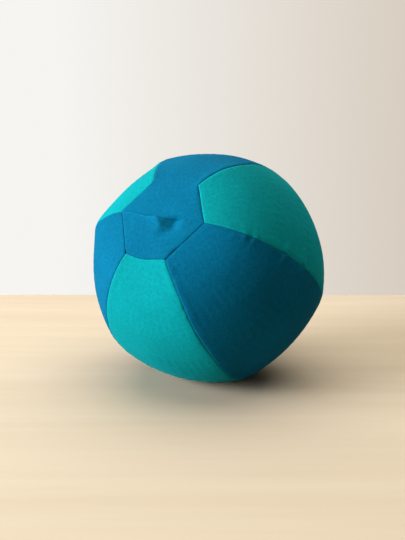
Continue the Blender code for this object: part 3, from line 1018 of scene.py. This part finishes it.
teal = cotton(
    "teal_cotton_cloth", (0.0006, 0.177, 0.193), (0.0004, 0.142, 0.156), (0.0010, 0.207, 0.225),
    90, 0.09, (0.02, 0.85, 0.93),
)
blue = cotton(
    "petrol_blue_cotton_cloth", (0.0003, 0.081, 0.151), (0.0002, 0.062, 0.119), (0.0005, 0.098, 0.183),
    90, 0.06, (0.01, 0.50, 0.95),
)
teal_yarn = yarn("teal_sewing_thread", (0.001, 0.095, 0.115))
blue_yarn = yarn("blue_sewing_thread", (0.0004, 0.055, 0.098))
latex = rubber("red_balloon_latex")

# ---- the cover's panels; a panel's fold lightening is how much its folds are painted lighter, partly for rubbing and partly as painted highlight
FINISHES = {"teal": teal, "blue": blue}
FOLD_WEAR_AND_HIGHLIGHT = {"teal": 0.35, "blue": 0.12}
GORES = {
    "gore_teal_1": (-90, "teal"), "gore_blue_1": (-30, "blue"), "gore_teal_2": (30, "teal"),
    "gore_teal_3": (150, "teal"), "gore_blue_3": (210, "blue"),
}


def declare_panel(node):
    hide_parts(node)


def root_panel(node, kind, made):
    """A panel that stays put, from its grid, its flat pattern and its flat area; the flat area is not used.
    """
    grid, uv, area = made
    cloth = cloth_object("cloth_" + node, grid, uv, CLOTH, FINISHES[kind], FOLD_WEAR_AND_HIGHLIGHT[kind])
    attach(cloth, "root")
    declare_panel(node)


# the balloon comes first
def revolved(profile, columns):
    """Closed surface of revolution; profile runs from the axis to the axis."""
    profile = np.asarray(profile)
    turn = 2 * np.pi * np.arange(columns) / columns
    rings = np.stack([
        profile[1:-1, None, 0] * np.cos(turn)[None],
        profile[1:-1, None, 0] * np.sin(turn)[None],
        np.broadcast_to(profile[1:-1, None, 1], (len(profile) - 2, columns)),
    ], axis=-1)
    vertices = np.concatenate([rings.reshape(-1, 3), [[0, 0, profile[0, 1]], [0, 0, profile[-1, 1]]]])
    count = len(rings)
    faces = [(a, d, c, b) for a, b, c, d in ring_faces(count, columns)]
    for i in range(columns):
        j = (i + 1) % columns
        faces.append((count * columns, i, j))
        faces.append((count * columns + 1, (count - 1) * columns + j, (count - 1) * columns + i))
    return vertices, faces


BALLOON_DEPTH = 2.6 * MM  # how far the balloon lies inside the cover
DIMPLE = 5.6 * MM  # where the flap's hollow presses it in
DIMPLE_SPREAD = 16.5 * MM


def balloon_skin():
    depth = BALLOON_DEPTH
    top = CAP_HEIGHT - 4.9 * MM
    distance = np.linspace(0, 0.034, 18)
    crown = top - DIMPLE * bell(distance / DIMPLE_SPREAD)
    colatitude = np.linspace(CAP_COLATITUDE + 1, 180 - CAP_COLATITUDE, 60)
    meridian = gore_surface(colatitude, np.zeros_like(colatitude), -90)
    meridian = meridian * (1 - depth / np.linalg.norm(meridian, axis=1, keepdims=True))
    sides = np.stack([-meridian[:, 1], np.minimum(meridian[:, 2], top)], axis=1)
    bottom = depth - CAP_HEIGHT
    end = np.stack([np.linspace(0.9, 0, 10) * CAP_APOTHEM, np.full(10, bottom)], axis=1)
    profile = np.concatenate([np.stack([distance, crown], axis=1), sides, end])
    # round the profile's corners
    for _ in range(6):
        profile[1:-1] = 0.5 * profile[1:-1] + 0.25 * (profile[2:] + profile[:-2])
    vertices, faces = revolved(profile, 128)
    return new_object("balloon_skin", to_row(vertices), faces, latex)


KNOT = np.array([-0.0022, -0.0036, CAP_HEIGHT - 0.0019])


def balloon_tie():
    """The tied neck: a wrapped knot, the flattened tail, and the rolled lip at its end."""
    parts = []
    angle = np.linspace(0, 2 * np.pi, 72, endpoint=False)
    wrap = np.stack([
        1.15 * MM * np.cos(angle) + 0.25 * MM * np.cos(3 * angle),
        0.75 * MM * np.sin(2 * angle),
        1.10 * MM * np.sin(angle),
    ], axis=1) + KNOT
    parts.append(tube(wrap, 0.85 * MM, sides=12, closed=True, outward=(0, 1, 0)))
    part = np.linspace(0, 1, 26)
    tail = np.stack([
        KNOT[0] + (0.0022 * part),
        KNOT[1] - 0.0008 - 0.0152 * part,
        KNOT[2] + (CAP_HEIGHT - 0.0031 - KNOT[2]) * smooth(part * 2.2),
    ], axis=1)
    spread = (1.3 + 3.4 * part ** 2 + 0.15 * np.sin(part * 31)) * MM
    thin = (0.75 - 0.35 * part) * MM
    parts.append(tube(tail, np.stack([spread, thin], axis=1), sides=16, outward=(0, 0, 1)))
    lip = np.stack([
        tail[-1, 0] + 4.7 * MM * np.cos(angle),
        tail[-1, 1] - 0.2 * MM + 0.55 * MM * np.sin(angle),
        np.full_like(angle, tail[-1, 2]),
    ], axis=1)
    parts.append(tube(lip, 0.5 * MM, sides=10, closed=True, outward=(0, 0, 1)))
    vertices, faces = joined(parts)
    return new_object("balloon_tie", to_row(vertices), faces, latex)


for piece, node in ((balloon_skin(), "balloon"), (balloon_tie(), "balloon_knot")):
    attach(piece, "balloon")
    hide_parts(node)

for node, (middle, kind) in GORES.items():
    root_panel(node, kind, gore_grid(middle))
root_panel("gore_blue_2_with_underlap", "blue", top_grid())
root_panel("far_end_cap", "blue", far_grid())

# ---- threads in the seams


def thread_object(name, node, line, aside, outward, finish, slot_name, closed=False):
    vertices, faces = stitches(line, aside, outward, closed=closed)
    thing = new_object(name, to_row(lie_on_floor(vertices)), faces, finish)
    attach(thing, "root")
    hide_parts(node)


for k in range(GORE_COUNT):
    azimuth = -60 + 60 * k
    owner = azimuth - HALF_GORE
    colatitude = np.linspace(CAP_COLATITUDE + 0.6, 180 - CAP_COLATITUDE - 0.6, 240)
    side = np.ones_like(colatitude)
    line = pushed(gore_surface(colatitude, side, owner)) + gore_settled(owner, colatitude, side)
    plane = np.broadcast_to(around(azimuth), line.shape)
    outward = unit(np.cross(plane, unit(np.gradient(line, axis=0))))
    outward *= np.sign(np.sum(outward * line, axis=1, keepdims=True))
    line = from_row(np.maximum(to_row(line), [-9, -9, 0]))
    thread_object(
        f"stitches_gore_seam_{k + 1}", f"gore_seam_thread_{k + 1}", line, plane, outward,
        teal_yarn, "teal_thread",
    )


def cap_line(corners, sign):
    """Points, sideways directions and outward directions along the sides of a cap."""
    lines, asides, outwards = [], [], []
    for a, b in zip(corners, corners[1:]):
        start, end = (around(corner - 90) * CAP_CORNER for corner in (a, b))
        part = np.linspace(0, 1, 40)[:-1, None]
        points = start * (1 - part) + end * part + np.array([0, 0, sign * CAP_HEIGHT])
        aim = cap_edge_aim(points, sign, 0.5 * (a + b))
        lines.append(pushed(points) + cap_settled(sign, points[:, 0], points[:, 1]))
        outwards.append(aim)
        asides.append(np.cross(aim, np.broadcast_to(unit(end - start), aim.shape)))
    return np.concatenate(lines), np.concatenate(asides), np.concatenate(outwards)


thread_object(
    "stitches_opening_seam", "opening_seam_thread", *cap_line([120 + 60 * k for k in range(GORE_COUNT)], 1),
    blue_yarn, "blue_thread",
)
thread_object(
    "stitches_far_cap_seam", "far_cap_seam_thread", *cap_line([60 * k for k in range(GORE_COUNT + 1)], -1),
    blue_yarn, "blue_thread", closed=True,
)


def bend_with_flap(thing, points):
    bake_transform(thing)


def mesh_points(thing):
    co = np.empty(len(thing.data.vertices) * 3, np.float32)
    thing.data.vertices.foreach_get("co", co)
    return from_row(co.reshape(-1, 3).astype(float))


grid, uv, area, thickness = flap_grid()
# painted highlight and rubbing: the flap's free edge is painted lighter along its left part, where the hem's
# fold catches the light
hem_wear_and_highlight = 0.8 * (1 - smooth((grid[..., 0] - 6 * MM) / (9 * MM)))
flap = cloth_object("cloth_opening_flap", grid, uv, thickness, blue, hem=hem_wear_and_highlight)
bend_with_flap(flap, mesh_points(flap))

HEM_INSET = 6 * MM
middle_y = grid[:, grid.shape[1] // 2, 1]
hem_row = int(np.argmin(np.abs(middle_y + HEM_INSET + float(mouth(np.array(0))))))
hem_line = grid[hem_row, 8:-8]
hem_out = normals(grid)[hem_row, 8:-8]
run = lengths_along(hem_line[:, None], 0)[:, 0]
rise = np.sin(np.linspace(0, np.pi, 7)) * 0.12 * MM - 0.10 * MM
parts = []
for k in range(int(round(run[-1] / STITCH))):
    place = (k + np.linspace(0.12, 0.88, 7)) * STITCH
    out = unit(followed(place, run, hem_out))
    parts.append(tube(followed(place, run, hem_line) + out * rise[:, None], 0.10 * MM, sides=6, outward=out))
vertices, faces = joined(parts)
hem = new_object("stitches_flap_hem", to_row(vertices), faces, blue_yarn)
bend_with_flap(hem, vertices)
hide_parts("flap_hem_thread")
declare_panel("opening_flap")

# ---- floor, light and camera
TABLE_FAR_EDGE = 0.352


def pale_floor():
    m = new_material("pale_beige_table")
    grain = m.noise(m.stretched(m.place(), (1.4, 26, 1)), 1, 4, 0.6)
    colour = m.ramp(grain, (0.35, (0.430, 0.362, 0.270)), (0.7, (0.457, 0.391, 0.297)))
    finish = m.finished({"Base Color": colour, "Roughness": 0.9, "Specular IOR Level": 0.05})
    corners = [(-2.2, -2, 0), (2.2, -2, 0), (2.2, TABLE_FAR_EDGE, 0), (-2.2, TABLE_FAR_EDGE, 0)]
    return new_object("floor", corners, [(0, 1, 2, 3)], finish)


pale_floor()


def turned_to(thing, place, aim):
    thing.location = place
    thing.rotation_mode = "QUATERNION"
    thing.rotation_quaternion = (aim - place).to_track_quat("-Z", "Y")


def area_light(name, place, aim, size, power, colour):
    data = bpy.data.lights.new(name, "AREA")
    data.shape = "SQUARE"
    data.size = size
    data.energy = power
    data.color = colour
    turned_to(placed(name, data), place, aim)


middle = Vector(CENTRE)
area_light("key", middle + Vector((-2.58, -0.80, 0.60)), middle, 1.5, 228, (0.96, 0.98, 1.03))
area_light("overhead", middle + Vector((0.05, 0.42, 1.60)), middle, 2.6, 70, (1.04, 0.98, 0.89))


def studio_world():
    """A weak even light, and for the camera a pale wall with painted shade that darkens it to the right."""
    m = Nodes(bpy.data.worlds.new("studio"), "Background")
    m.put(m.shader, {"Color": (0.95, 0.93, 0.90, 1), "Strength": 0.07})
    split = m.add("SeparateXYZ", {"Vector": m.add("TexCoord").outputs["Generated"]})
    # painted shade: the wall that the camera sees is painted darker and browner towards the right, where less
    # light reaches it
    shade = m.add("MapRange", {"Value": split.outputs["X"], "From Min": -0.20, "From Max": 0.32})
    wall = m.add("Mix", {
        "Factor": shade.outputs["Result"], "A": (0.92, 0.91, 0.88, 1), "B": (0.66, 0.58, 0.49, 1),
    }, data_type="RGBA")
    backdrop = m.add("Background", {"Color": wall.outputs["Result"], "Strength": 1})
    mix = m.add("MixShader", {
        "Fac": m.add("LightPath").outputs["Is Camera Ray"],
        1: m.shader.outputs["Background"], 2: backdrop.outputs["Background"],
    })
    m.put(m.tree.nodes["World Output"], {"Surface": mix.outputs["Shader"]})
    return m.owner


bpy.context.scene.world = studio_world()
bpy.context.scene.view_settings.view_transform = "Standard"

CAMERA_DISTANCE = 0.781
CAMERA_ELEVATION = math.radians(12)
camera_data = bpy.data.cameras.new("camera")
camera_data.lens = 46.67
camera_data.sensor_width = 36
camera = placed("camera", camera_data)
back = Vector((0, -math.cos(CAMERA_ELEVATION), math.sin(CAMERA_ELEVATION)))
turned_to(camera, middle + back * CAMERA_DISTANCE, middle + Vector((-0.0056, 0, -0.0038)))
bpy.context.scene.camera = camera
